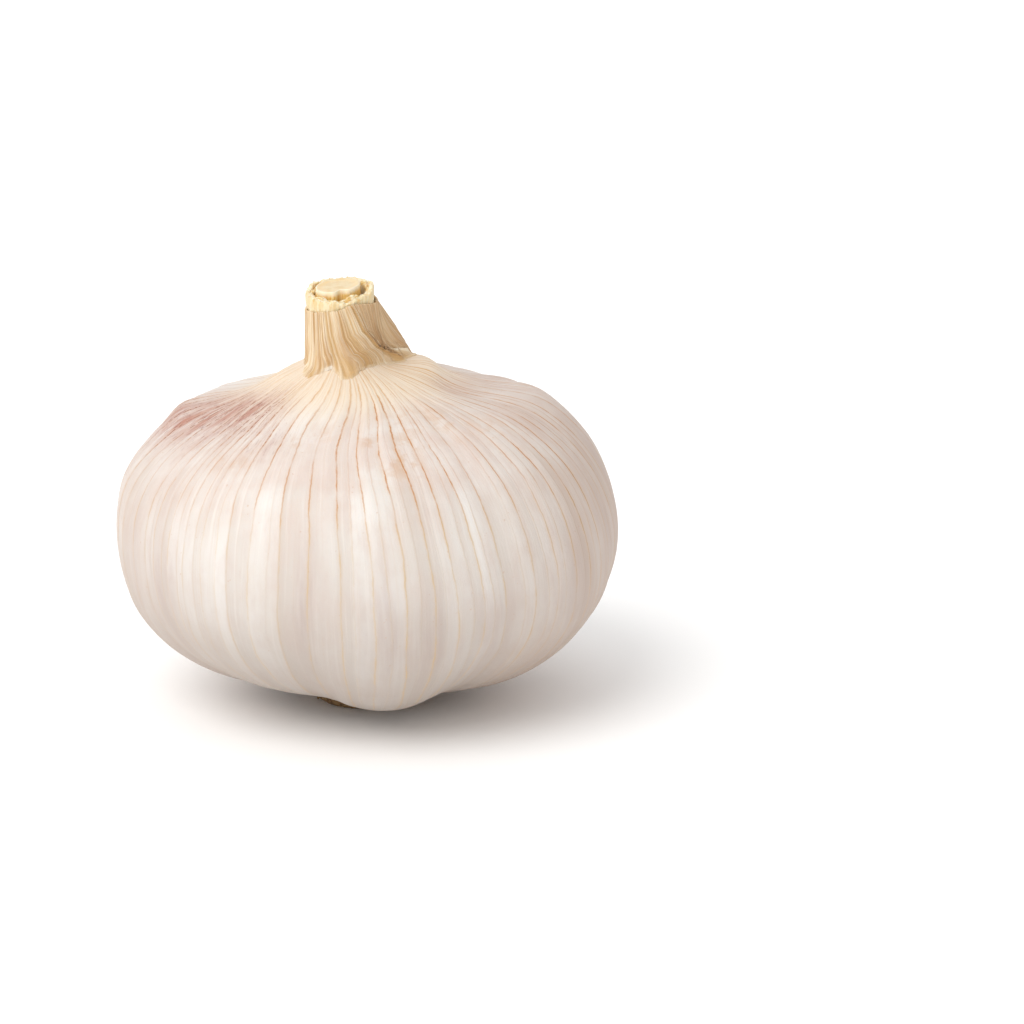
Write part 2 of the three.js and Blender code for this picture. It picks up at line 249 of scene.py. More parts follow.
def streaks(tree, across, along, detail=3.0, seedShift=0.0):
    # noise on the piece's own map, in millimetres: across and along say how many blotches fit in one
    where = addNode(tree, "ShaderNodeUVMap", {"uv_map": "skinMap"}).outputs[0]
    stretch = {1: (seedShift, seedShift, 0), 3: (across, along, 1)}
    placed = addNode(tree, "ShaderNodeMapping", stretch, {0: where}).outputs[0]
    settings = {"Scale": 1.0, "Detail": detail, "Roughness": 0.6}
    return addNode(tree, "ShaderNodeTexNoise", settings, {"Vector": placed}).outputs[0]


def blotches(tree, sizeMm, detail=3.0):
    # noise in the piece's own space, its blotches about sizeMm across
    where = addNode(tree, "ShaderNodeTexCoord").outputs["Object"]
    settings = {"Scale": 1 / (sizeMm * mm), "Detail": detail, "Roughness": 0.55}
    return addNode(tree, "ShaderNodeTexNoise", settings, {"Vector": where}).outputs[0]


def bump(tree, shader, height, distanceMm, strength=1.0):
    settings = {"Strength": strength, "Distance": distanceMm * mm}
    node = addNode(tree, "ShaderNodeBump", settings, {"Height": height})
    tree.links.new(node.outputs[0], shader.inputs["Normal"])


# The wrapped bulb, in mm and degrees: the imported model's outline, grooves and lobes, with clove tips that
# stand out half a millimetre more and one more knuckle under the flap

form = {
    # radius and height up the side
    "outline": [(7.6, 2.4), (10.4, 1.8), (14.2, 2.6), (18.6, 4.8), (22.8, 8.2), (26.2, 12.7),
                (27.7, 18.0), (27.1, 23.6), (24.7, 28.4), (20.4, 32.1), (14.8, 34.7), (9.6, 36.5),
                (6.4, 37.8), (4.4, 38.7), (3.4, 39.7), (3.0, 40.8)],
    # angle, width, then the share of the radius low, midway and high
    "grooves": [(252, 13, 0.06, 0.016, 0.012), (209, 12, 0.05, 0.03, 0.02), (158, 12, 0.07, 0.035, 0.05),
                (118, 13, 0.07, 0.03, 0.06), (80, 13, 0.07, 0.03, 0.06), (38, 13, 0.07, 0.03, 0.06),
                (352, 12, 0.07, 0.02, 0.05), (302, 12, 0.09, 0.008, 0.045)],
    "lobes": [(278, 22, 0.035, 0, 0), (230, 16, 0.03, 0, 0), (200, 22, 0.105, 0, 0),
              (350, 30, 0.05, 0.014, 0), (18, 20, 0, 0, 0.05), (60, 20, 0, 0, 0.05),
              (176, 17, 0, -0.012, 0.06), (138, 16, 0, 0, 0.04)],
    # clove tips and hollows on the shoulder: angle, width, radius, spread, height in mm
    "knuckles": [(163, 26, 17.3, 2.8, 2.1), (158, 34, 11, 3.5, -1.2), (168, 30, 25, 3, -0.7),
                 (16, 24, 20.8, 2.7, 0.9), (12, 30, 15.5, 3.2, -0.9), (352, 14, 13, 3.5, -0.5),
                 (15, 45, 8.5, 2.8, 1.5), (26, 24, 7.6, 1.7, 1.3)],
    "knuckleSlope": 0.6,
    "lobesFade": (5.5, 14),
    "shoulderHeight": 38.4,
    "neckAxis": (-2.9, -2.0),
    "lean": 2.5,
    "tilt": 1.55,
    "tiltHeights": (7.7, 38.4),
    "tiltRadii": (7, 20),
    "grooveLift": 8,
    "undersideLift": [(228, 24, 1.3), (320, 14, 0.8)],
    "stubTop": 40.8,
    "boreRadius": 2.4,
    "boreFloor": 34.5,
}


def leaningAxis(height):
    # the middle of the bulb moves from the origin to the neck's axis with the power `lean` of the height
    share = np.clip(height / form["shoulderHeight"], 0, 1) ** form["lean"]
    return form["neckAxis"][0] * share, form["neckAxis"][1] * share


def bulbSurface(radius, height, angle):
    # radius swells over lobes and is drawn in at grooves, each a bell of the angle with its own share low,
    # midway and high; knuckles are bells of angle and radius that go outwards and up
    rise = np.clip(height / form["shoulderHeight"], 0, 1)
    low, high = 1 - smoothstep(rise, 0, 0.5), smoothstep(rise, 0.5, 1)
    middle = 1 - low - high
    drawn, swollen = [
        sum((g[2] * low + g[3] * middle + g[4] * high) * bell(angle, g[0], g[1]) for g in form[kind])
        for kind in ("grooves", "lobes")]
    knuckle = high * sum(k[4] * bell(angle, k[0], k[1]) * np.exp(-((radius - k[2]) / k[3]) ** 2)
                         for k in form["knuckles"])
    fade = smoothstep(radius, *form["lobesFade"])
    reach = radius * (1 + (swollen - drawn) * fade) + form["knuckleSlope"] * knuckle
    turn = np.radians(angle)
    x, y = leaningAxis(height)
    tiltShare = smoothstep(height, *form["tiltHeights"]) * smoothstep(radius, *form["tiltRadii"])
    raised = sum(amount * bell(angle, centre, width) for centre, width, amount in form["undersideLift"])
    lift = (form["grooveLift"] * drawn + raised) * low * fade + (1 - form["knuckleSlope"]) * knuckle
    z = height + form["tilt"] * np.cos(turn) * tiltShare + lift
    return np.stack([x + reach * np.cos(turn), y + reach * np.sin(turn), z], -1)


outline = np.array(form["outline"])


def shoulderUnder(x, y):
    # height of the shoulder at a place near the neck, by halving the stretch of outline that it lies on
    outer, inner = np.full_like(x, 0.6), np.ones_like(x)
    for _ in range(24):
        share = (outer + inner) / 2
        ring = splinePoint(outline, share)
        axisX, axisY = leaningAxis(ring[..., 1])
        angle = np.degrees(np.arctan2(y - axisY, x - axisX))
        point = bulbSurface(ring[..., 0], ring[..., 1], angle)
        tooFar = np.hypot(point[..., 0] - axisX, point[..., 1] - axisY) > np.hypot(x - axisX, y - axisY)
        outer, inner = np.where(tooFar, share, outer), np.where(tooFar, inner, share)
    return point[..., 2]


def onNeck(radius, height, angle):
    turn = np.radians(angle)
    x, y = form["neckAxis"]
    return np.stack([x + radius * np.cos(turn), y + radius * np.sin(turn), height + 0 * turn], -1)


# Papery skin with its veins

skin = {
    "seed": 7,
    "seam": 90,                # degrees: the map starts and ends at the back
    # angle of a strong vein at the widest height, and its strength
    "mainVeins": [(196, 0.3), (203, 0.42), (209, 0.3), (214.5, 0.45), (221, 0.36), (227, 0.45), (233, 0.36),
                  (239.5, 0.5), (245.2, 0.55), (252.2, 0.6), (259.5, 0.7), (266.8, 0.75), (273.2, 0.7),
                  (280, 1.0), (286.2, 0.95), (291.6, 0.85), (297.5, 0.75), (303.3, 0.6), (311, 0.75),
                  (318, 0.45), (324.5, 0.6), (330, 0.7), (336.5, 0.75), (342, 0.6), (347, 0.8),
                  (352.5, 0.75), (358, 0.8)],
    "veinSpacing": 6.6,        # degrees between strong veins elsewhere
    "sideVeinShare": 0.75,     # share of the gaps that hold a weak vein too
    "columnsPerGap": 7,
    "rows": 128,
    "pillow": 0.05,            # mm that the skin stands out between two veins
    "ripple": 0.09,            # mm of broad pleats
    "gather": 0.05,            # mm of narrow folds under the neck
    "mapRadius": 24,           # mm, for the width of the map
    "waver": 0.1,              # degrees that all veins stray together from their meridians
    "kink": (0.1, 0.05),       # mm that each vein strays by itself, slowly and in short kinks
    # how the veins turn about the neck on the shoulder: angle at the widest height, degrees turned close to
    # the neck, radius where the turn begins
    "crownTurn": [(200, 0, 14), (234, 6, 12), (247, 9, 14), (259, 11, 18), (270, 13, 20), (298, 13, 20),
                  (320, 5, 20), (335, 0, 20)],
    # mauve bands where a clove lies close under the skin: angle, width, height, spread, strength; the two at
    # 343 and 2 degrees, on the right side, also stand for the shade there and are partly painted shade
    "bands": [(258.5, 3.8, 18, 8, 0.9), (276, 3.8, 16, 5.5, 0.9), (285.5, 3.6, 15, 5.5, 0.8),
              (218, 6, 17, 9, 0.7), (203, 4, 22, 8, 0.5), (301, 5, 14, 6, 0.6), (325, 7, 17, 8, 0.6),
              (343, 6, 20, 9, 0.8), (2, 10, 19, 10, 1.0)],
    "hiddenBands": 14,
    # coloured patches on the shoulder: angle, width, radius, spread, strength
    "blush": [(212, 22, 17.5, 3.5, 0.2), (221, 15, 12.5, 3.6, 1.0), (198, 18, 14.5, 4.5, 0.9),
              (182, 14, 18, 4, 1.0), (241, 9, 17, 3, 0.35)],
    # valley rows: darker mauve brown in the hollows of the shoulder, painted shade
    "valley": [(350, 12, 12.5, 3, 0.9), (20, 16, 17, 4, 0.7), (318, 10, 14, 3, 0.3), (338, 8, 20, 3, 0.3)],
    "mottle": [(278, 3, 17, 1.3, 0.9), (286, 6, 21, 1.8, 1.0), (291, 5, 18, 2, 0.7), (310, 8, 16, 3, 0.7),
               (297, 6, 14.5, 2, 0.6), (262, 5, 15.5, 1.2, 0.5), (251, 8, 17, 1.3, 0.5),
               (232, 8, 20, 1.5, 0.5), (325, 7, 19, 2, 0.5)],
}


def strayOf(rng, rows, count):
    # one column of soft numbers for each vein: a slow stray and short kinks, in mm
    slow, short = skin["kink"]
    columns = [slow * softNoise(rng.integers(1e6), rows, 9) + short * softNoise(rng.integers(1e6), rows, 2.2)
               for _ in range(count)]
    return np.stack(columns, 1)


def veinLayout():
    rng = np.random.default_rng(skin["seed"])
    strong = list(skin["mainVeins"])
    first, last = strong[0][0], strong[-1][0] - 360
    count = round((first - last) / skin["veinSpacing"])
    step = (first - last) / count
    for k in range(1, count):
        strong.append((last + (k + rng.uniform(-0.22, 0.22)) * step, rng.uniform(0.25, 0.75)))
    strong = sorted(((angle - skin["seam"]) % 360 + skin["seam"], tone) for angle, tone in strong)
    veins = []
    for (angle, tone), (nextAngle, _) in zip(strong, strong[1:] + [(strong[0][0] + 360, 0)]):
        veins.append((angle, tone))
        if rng.random() < skin["sideVeinShare"]:
            veins.append((angle + (nextAngle - angle) * rng.uniform(0.35, 0.65), rng.uniform(0.06, 0.3)))
    return np.array(veins)


def patches(rows, angle, place):
    # sum of bells of the angle and of a second measure
    return sum(r[4] * bell(angle, r[0], r[1]) * np.exp(-((place - r[2]) / r[3]) ** 2) for r in rows)


def makeSkin():
    veins = veinLayout()
    perGap = skin["columnsPerGap"]
    rng = np.random.default_rng(skin["seed"] + 1)
    angles = np.append(veins[:, 0], veins[0, 0] + 360)
    gaps = np.diff(angles)
    share = np.arange(perGap) / perGap
    columnAngle = (angles[:-1, None] + gaps[:, None] * share).ravel()
    columnGap = np.repeat(gaps, perGap)
    inGap = np.tile(share, len(gaps))
    nearer = np.where(inGap < 0.5, inGap, 1 - inGap)

    sides = splinePoint(outline, np.linspace(0, 1, skin["rows"]))
    bottom = np.array([(1.5, 2.4), (4.5, 2.4), (7.0, 2.4)])
    bore = np.array([(form["boreRadius"], form["stubTop"]), (form["boreRadius"], form["boreFloor"] + 3),
                     (form["boreRadius"], form["boreFloor"]), (1.0, form["boreFloor"])])
    rings = np.concatenate([bottom, sides, bore])
    radius, height = rings[:, 0:1], rings[:, 1:2]
    length = np.append(0, np.cumsum(np.linalg.norm(np.diff(rings, axis=0), axis=1)))[:, None]
    upper = smoothstep(height, 16, 24)

    # veins stray a little, turn about the neck on the shoulder, and spread out towards the base at the front
    base = columnAngle[None, :]
    around = np.radians(base)
    wave = np.sin(height / 5.1 + 6 * around) + 0.5 * np.sin(height / 2.3 + 11 * around)
    wave = wave + 0.3 * np.sin(height * 1.4 + 27 * around)
    within = np.clip(columnAngle, 200, 335)
    begins = between(skin["crownTurn"], within, 2)[None, :]
    turned = between(skin["crownTurn"], within, 1)[None, :] * (1 - smoothstep(radius, 3, begins)) * upper
    spread = 0.16 * (base - 282) * bell(base, 282, 45) * (1 - smoothstep(height, 4, 26))
    stray = strayOf(rng, len(rings), len(gaps))
    here = np.repeat(np.arange(len(gaps)), perGap)
    there = (here + 1) % len(gaps)
    stray = stray[:, here] * (1 - inGap) + stray[:, there] * inGap
    stray = stray / np.maximum(radius, 3) * 180 / np.pi
    angle = base + (skin["waver"] * wave + stray) * smoothstep(radius, 4, 12) + turned + spread
    points = bulbSurface(radius, height, angle)
    inBore = np.arange(len(rings)) >= len(rings) - len(bore)
    points[inBore] = onNeck(radius[inBore], height[inBore], angle[inBore])

    # pillows between veins, and broad pleats that run down the whole skin
    fade = smoothstep(radius, 7, 13) * smoothstep(height, 1.9, 5)
    pillow = skin["pillow"] * 4 * inGap * (1 - inGap) * np.minimum(columnGap / 5, 1.3)
    waves = ((23, 0.4, 0.5), (31, 2.0, 0.45), (41, 4.1, 0.4), (57, 1.2, 0.3))
    pleat = sum(np.cos(around * k + p) * a for k, p, a in waves)
    slowChange = 0.7 + 0.3 * np.sin(height / 6 + 3 * around)
    # narrow folds gathered under the neck, strongest at the left
    fold = np.cos(around * 61 + 1.3) * 0.6 + np.cos(around * 97) * 0.4
    gathered = smoothstep(radius, 5, 7.5) * (1 - smoothstep(radius, 8, 13)) * (0.25 + bell(base, 195, 45))
    relief = (pillow + skin["ripple"] * pleat * slowChange) * fade + skin["gather"] * fold * gathered
    relief[inBore] = 0
    points = points + normalsOf(points, True) * relief[..., None]

    # each vein grows stronger and weaker on its way
    veinNumber = np.where(inGap < 0.5, here, there)
    phase = rng.uniform(0, 6.28, (2, len(gaps)))[:, veinNumber]
    life = 0.8 + 0.16 * np.sin(height / 3.7 + phase[0]) + 0.1 * np.sin(height / 1.5 + phase[1])
    tone = veins[veinNumber, 1] * life

    tall = np.broadcast_to(height, points.shape[:2])
    wide = np.broadcast_to(radius, points.shape[:2])
    hidden = [(rng.uniform(10, 195), rng.uniform(3, 7), rng.uniform(12, 24), rng.uniform(6, 9),
               rng.uniform(0.4, 0.9)) for _ in range(skin["hiddenBands"])]
    # the film between two veins has its own tone, sharp at one vein and fading towards the next
    filmTone, filmTop = rng.uniform(0, 1, len(gaps)) ** 1.4, rng.uniform(27.5, 31.5, len(gaps))
    film = filmTone[here] * (1 - 0.55 * inGap) * (1 - 0.8 * smoothstep(height - filmTop[here], -0.7, 0.7))
    # darker on the sides, most at the right and a little at the left: painted shade where the light falls
    # off
    tanned = 0.7 * smoothstep(np.cos(np.radians(angle - 370)), 0.2, 1)
    tanned = tanned + 0.4 * smoothstep(np.cos(np.radians(angle - 180)), 0.6, 1)
    attributes = {
        "film": film,
        "mottle": patches(skin["mottle"], angle, wide) * upper,
        "veinSide": np.where(inGap < 0.5, inGap, inGap - 1) * columnGap * np.pi / 180 * np.maximum(wide, 2),
        "veinShare": np.broadcast_to(nearer, tall.shape),
        "veinTone": tone,
        "band": patches(skin["bands"] + hidden, base, tall),
        "blush": patches(skin["blush"], angle, wide) * upper,
        "valley": patches(skin["valley"], angle, wide) * upper,
        "crown": (1 - smoothstep(wide, 4.5, 19)) * upper,
        "tanned": tanned * (1 - 0.4 * smoothstep(height, 24, 34)),
        "heightMm": tall,
    }
    unwrapped = np.append(columnAngle, columnAngle[0] + 360)[None, :] * np.pi / 180 * skin["mapRadius"]
    uv = np.stack(np.broadcast_arrays(unwrapped, length), -1)
    return roundShell("bulbSkin", points, uv, attributes)


def skinMaterial():
    # dry papery leaf scale, grown and cured: a matt cream film with fine fibre veins, and a mauve cast where
    # a clove lies close under it
    material, tree, shader = newMaterial("paperyGarlicSkin", 0.5, 0.4, 0.06, 1.0)
    tone = feed(tree, "attribute", "veinTone")
    blush, crown = feed(tree, "attribute", "blush"), feed(tree, "attribute", "crown")
    height, band = feed(tree, "attribute", "heightMm"), feed(tree, "attribute", "band")
    wash = feed(tree, "blend", feed(tree, "remap", blotches(tree, 9), 0.35, 0.68), "#e1dcd7", "#dad3cc")
    # sheets of film of differing thickness, and soft clouds in them
    film = feed(tree, "multiply", feed(tree, "attribute", "film"), 0.85)
    wash = feed(tree, "blend", film, wash, "#c8bdb3")
    cloud = feed(tree, "remap", streaks(tree, 0.5, 0.16, 4, 17.0), 0.42, 0.68, 0, 0.4)
    wash = feed(tree, "blend", cloud, wash, "#cfbeb5")
    pinkish = feed(tree, "remap", blotches(tree, 8, 4), 0.4, 0.66)
    shoulder, outerCrown = feed(tree, "remap", height, 24, 30), feed(tree, "remap", crown, 0.75, 0.35)
    shoulder = feed(tree, "multiply", shoulder, outerCrown)
    pinkish = feed(tree, "multiply", feed(tree, "multiply", pinkish, shoulder), 0.4)
    wash = feed(tree, "blend", pinkish, wash, "#cbb0a2")
    # fine fibres between the veins, some paler and some browner than the film
    brown = feed(tree, "remap", streaks(tree, 3.2, 0.04, 4), 0.48, 0.74, 0, 0.22)
    wash = feed(tree, "blend", brown, wash, "#cbb5a3")
    pale = feed(tree, "remap", streaks(tree, 2.1, 0.05, 3, 12.0), 0.52, 0.75, 0, 0.3)
    wash = feed(tree, "blend", pale, wash, "#ece6e0")
    # mauve bands, soft and a little broken
    broken = feed(tree, "remap", streaks(tree, 0.7, 0.07, 3, 4.0), 0.34, 0.6, 0.5, 1.0)
    mauve = feed(tree, "multiply", feed(tree, "multiply", band, broken), 0.62)
    wash = feed(tree, "blend", mauve, wash, "#b39d96")
    # darker and duller towards the base, painted shade where less light reaches the lower part; darker at
    # the two sides, most at the right, painted shade; cream under the neck
    wash = feed(tree, "blend", feed(tree, "remap", height, 26, 4, 0, 0.55), wash, "#a3958b")
    # painted shade on the two sides, broken into streaks
    tanned = feed(tree, "remap", streaks(tree, 0.3, 0.06, 4, 51.0), 0.35, 0.65, 0.7, 1.1)
    tanned = feed(tree, "multiply", tanned, feed(tree, "attribute", "tanned"))
    wash = feed(tree, "blend", feed(tree, "multiply", tanned, 0.66), wash, "#b0917d")
    wash = feed(tree, "blend", feed(tree, "remap", crown, 0.05, 0.9, 0, 0.8), wash, "#e5d4bd")
    strings = feed(tree, "remap", streaks(tree, 1.8, 0.05, 3, 41.0), 0.5, 0.64, 0, 0.4)
    wash = feed(tree, "blend", feed(tree, "multiply", strings, crown), wash, "#cda774")
    # brown mottles on the shoulder, and darker mauve brown in its hollows, which is painted shade
    hollowShade = feed(tree, "remap", streaks(tree, 1.0, 0.12, 4, 35.0), 0.36, 0.6, 0.25, 1.0)
    hollowShade = feed(tree, "multiply", feed(tree, "attribute", "valley"), hollowShade)
    wash = feed(tree, "blend", feed(tree, "multiply", hollowShade, 0.65), wash, "#b08b7b")
    spots = feed(tree, "remap", blotches(tree, 1.4, 6), 0.44, 0.62, 0.1, 1.0)
    spots = feed(tree, "multiply", feed(tree, "attribute", "mottle"), spots)
    wash = feed(tree, "blend", feed(tree, "multiply", spots, 0.55), wash, "#c79f7b")
    # brownish purple blush on the left shoulder, streaked along the fibres
    streak = feed(tree, "remap", streaks(tree, 0.9, 0.16, 5, 9.0), 0.34, 0.64, 0.25, 1.0)
    streak = feed(tree, "multiply", blush, streak)
    wash = feed(tree, "blend", feed(tree, "multiply", streak, 0.8), wash, "#b08070")
    dash = feed(tree, "remap", streaks(tree, 3.6, 0.7, 4, 21.0), 0.55, 0.66)
    dash = feed(tree, "multiply", feed(tree, "multiply", dash, blush), 0.75)
    wash = feed(tree, "blend", dash, wash, "#87524b")
    # veins a sixth of a millimetre wide, kinked, uneven in width, and beaded where the blush is
    kink = feed(tree, "subtract", streaks(tree, 0.25, 0.9, 4, 27.0), 0.5)
    side = feed(tree, "add", feed(tree, "attribute", "veinSide"), feed(tree, "multiply", kink, 0.28))
    noise = feed(tree, "subtract", streaks(tree, 2.2, 1.6, 4, 2.0), 0.5)
    ragged = feed(tree, "add", feed(tree, "size", side), feed(tree, "multiply", noise, 0.1))
    nearVein = feed(tree, "remap", feed(tree, "attribute", "veinShare"), 0.44, 0.34)
    line = feed(tree, "multiply", feed(tree, "remap", ragged, 0.125, 0.02), nearVein)
    halo = feed(tree, "multiply", feed(tree, "remap", ragged, 0.5, 0.0), nearVein)
    dotted = feed(tree, "remap", streaks(tree, 0.5, 0.3, 5, 6.0), 0.36, 0.58, 0.35, 1.15)
    beads = feed(tree, "remap", streaks(tree, 0.6, 1.7, 2, 31.0), 0.44, 0.54)
    dotted = feed(tree, "between", blush, dotted, beads)
    gone = feed(tree, "remap", height, 38.6, 37.0, 0.6, 1.0)
    strength = feed(tree, "multiply", feed(tree, "multiply", tone, dotted), gone)
    strength = feed(tree, "multiply", strength, feed(tree, "remap", height, 14, 29, 0.7, 1.12))
    # veins stronger on the sides with painted shade
    strength = feed(tree, "multiply", strength, feed(tree, "remap", tanned, 0, 0.6, 1, 1.7))
    strength = feed(tree, "multiply", strength, feed(tree, "remap", blush, 0, 0.8, 1, 2.4))
    veinColour = feed(tree, "blend", feed(tree, "remap", height, 24, 31), "#cbb088", "#bd875c")
    # veins darker there too, part of the painted side shade
    veinColour = feed(tree, "blend", feed(tree, "multiply", tanned, 0.7), veinColour, "#9f7058")
    veinColour = feed(tree, "blend", feed(tree, "remap", crown, 0.5, 0.9), veinColour, "#cda26c")
    veinColour = feed(tree, "blend", feed(tree, "multiply", blush, 0.9), veinColour, "#824a40")
    aura = feed(tree, "multiply", feed(tree, "multiply", halo, strength), 0.3)
    wash = feed(tree, "blend", aura, wash, "#d3b594")
    wash = feed(tree, "blend", feed(tree, "multiply", line, strength), wash, veinColour)
    speck = feed(tree, "remap", blotches(tree, 0.5, 1), 0.74, 0.8, 0, 0.3)
    wash = feed(tree, "blend", speck, wash, "#bd9068")
    tree.links.new(wash, shader.inputs["Base Color"])
    # fine fibres and a paper grain of a third of a millimetre, veins slightly raised
    fibres, grain = streaks(tree, 4.0, 0.5, 5, 1.0), feed(tree, "multiply", blotches(tree, 0.35, 3), 0.7)
    grain = feed(tree, "add", fibres, grain)
    bump(tree, shader, feed(tree, "add", grain, feed(tree, "multiply", line, 0.4)), 0.05, 0.6)
    return material


dress(makeSkin(), skinMaterial(), "bulb_body")


# Leaf sheaths round the neck

sheath = {
    "radius": 3.8,             # outside, at the cut rim
    "rearInset": 0.12,         # the rear sheath lies this much further in
    "wall": 0.2,               # thickness of the dried leaf, thinning towards the foot
    "thinWall": 0.04,
    "rimHeight": [(150, 45.1), (180, 44.7), (215, 44.8), (255, 45.2), (292, 45.9), (360, 45.4), (420, 46.1),
                  (480, 45.7), (510, 45.1), (520, 45.0)],
    # angle, reach, lateness of the flare: torn tongues lie on the shoulder at 232 and 275
    "frontFoot": [(150, 4.4, 4), (180, 4.2, 5), (205, 4.5, 5), (222, 5.6, 5), (232, 6.3, 5), (240, 5.4, 5),
                  (248, 4.5, 5), (256, 4.1, 5), (264, 4.8, 5), (271, 5.8, 5), (279, 5.9, 5), (287, 5.3, 5),
                  (296, 4.5, 4), (310, 4.2, 3), (330, 4.3, 2.5), (348, 4.7, 2), (360, 5.5, 1.6),
                  (374, 7.0, 1.2), (391, 9.0, 1.0), (410, 8.4, 1.0)],
    "rearFoot": [(284, 4.2, 4), (310, 4.1, 3), (330, 4.2, 2.5), (348, 4.6, 2), (360, 5.4, 1.6),
                 (374, 6.9, 1.2), (391, 8.9, 1.0), (410, 8.4, 1.0), (430, 7.0, 1.3), (460, 5.6, 2),
                 (518, 4.4, 4)],
    "length": 8,               # mm from rim to foot, for the map
    "start": 150,
    "edgeTop": 293,            # the front sheath's free edge starts here at the rim
    # degrees that the free edge has swept to the right, by the drop from rim to foot
    "edgeSweep": [(0, 0), (0.19, 12), (0.41, 25), (0.54, 42), (0.67, 58), (0.71, 70), (0.76, 82), (0.82, 93),
                  (0.88, 99), (1.1, 104)],
    "overlap": 8,              # degrees that the rear sheath runs on under it
    "landing": 0.94,           # share of the drop at which the leaf meets the shoulder
    "hover": 0.1,              # mm from the shoulder to the outside of the foot
    "tuck": 0.22,              # mm that the last edge of the foot goes down into the skin
    "press": 0.15,             # softness with which the foot comes to lie on the shoulder
    "strands": (0.035, 0.04, 0.035),      # mm of broad, strong and fine fibres
}


def edgeLean(drop):
    return np.interp(drop, *np.array(sheath["edgeSweep"]).T)


def sheathSurface(foot, angle, drop, inset, sunk):
    # radius = top + (reach - top) * drop^lateness; height falls evenly from the rim to the shoulder under
    # the reach, and where the shoulder is higher it follows that: z = ground + (d + sqrt(d^2 + press^2)) / 2
    reach, lateness = between(foot, angle, 1), between(foot, angle, 2)
    under = onNeck(reach, 0, angle)
    footHeight = shoulderUnder(under[..., 0], under[..., 1])
    top = sheath["radius"] - inset
    radius = top + (reach - top) * drop ** lateness
    rim = between(sheath["rimHeight"], angle, 1)
    here = onNeck(radius, 0, angle)
    ground = shoulderUnder(here[..., 0], here[..., 1]) + sheath["hover"] - inset * 0.4 - sunk
    above = rim + (footHeight - rim) * drop / sheath["landing"] - ground
    here[..., 2] = ground + (above + np.sqrt(above ** 2 + sheath["press"] ** 2)) / 2
    return here


def makeSheath(name, foot, angleAcross, columns, rows, seed, inset, folds):
    u = np.linspace(0, 1, columns)[None, :]
    v = 1 - (1 - np.linspace(0, 1, rows)[:, None]) ** 1.35        # rows lie closer at the foot
    perDegree = columns / (angleAcross(1.0, 0.0) - angleAcross(0.0, 0.0))
    strip = softNoise(seed, columns, 2.5 * perDegree)
    fibreEnd = softNoise(seed + 1, columns, 0.5 * perDegree)
    tear = np.clip(1.01 + 0.02 * strip + 0.016 * fibreEnd, 0.95, 1.07)
    nick = np.clip(0.006 + 0.006 * softNoise(seed + 2, columns, 0.8 * perDegree), 0, 0.03)
    drop = nick + (tear - nick) * v
    angle = angleAcross(u, drop)
    points = sheathSurface(foot, angle, drop, inset, sheath["tuck"] * smoothstep(v, 0.94, 1))
    normal = normalsOf(points, False)
    # strong fibres, fine fibres, and folds given as place, drift towards the foot, width, then height at the
    # rim, midway and at the foot
    broad = softNoise(seed + 5, columns, 4.5 * perDegree)
    strong = softNoise(seed + 3, columns, 1.3 * perDegree)
    fine = softNoise(seed + 4, columns, 0.5 * perDegree)
    flatter = 1 - 0.75 * smoothstep(drop, 0.85, 1)
    broadMm, strongMm, fineMm = sheath["strands"]
    relief = (broadMm * broad + strongMm * strong + fineMm * fine) * flatter
    crease = 0 * drop
    for centre, drift, width, atRim, midway, atFoot in folds:
        early, late = np.clip(drop * 2, 0, 1), np.clip(drop * 2 - 1, 0, 1)
        along = atRim + (midway - atRim) * early + (atFoot - midway) * late
        crease = crease + along * np.exp(-((u - centre - drift * drop) / width) ** 2)
    relief = relief + crease
    outer = points + normal * relief[..., None]
    wall = sheath["wall"] + (sheath["thinWall"] - sheath["wall"]) * smoothstep(drop, 0.6, 0.98)
    inner = outer - normal * wall[..., None]
    attributes = {
        "fibre": np.broadcast_to(fine, drop.shape),
        "strand": np.broadcast_to(0.8 * strong + 0.3 * broad, drop.shape),
        "drop": drop,
        "crease": crease,
        "shred": bell(angle, 252, 9) * smoothstep(drop, 0.84, 0.98),
    }
    across = u * columns / perDegree * np.pi / 180 * sheath["radius"]
    uv = np.stack(np.broadcast_arrays(across, drop * sheath["length"]), -1)
    return thinSheet(name, outer, inner, uv, attributes)


def frontAcross(u, drop):
    return sheath["start"] + (sheath["edgeTop"] - sheath["start"]) * u + edgeLean(drop) * u ** 4


def rearAcross(u, drop):
    first, last = sheath["edgeTop"] - sheath["overlap"], sheath["start"] + 360 + sheath["overlap"]
    return first + (last - first) * u + edgeLean(drop) * (1 - u) ** 4


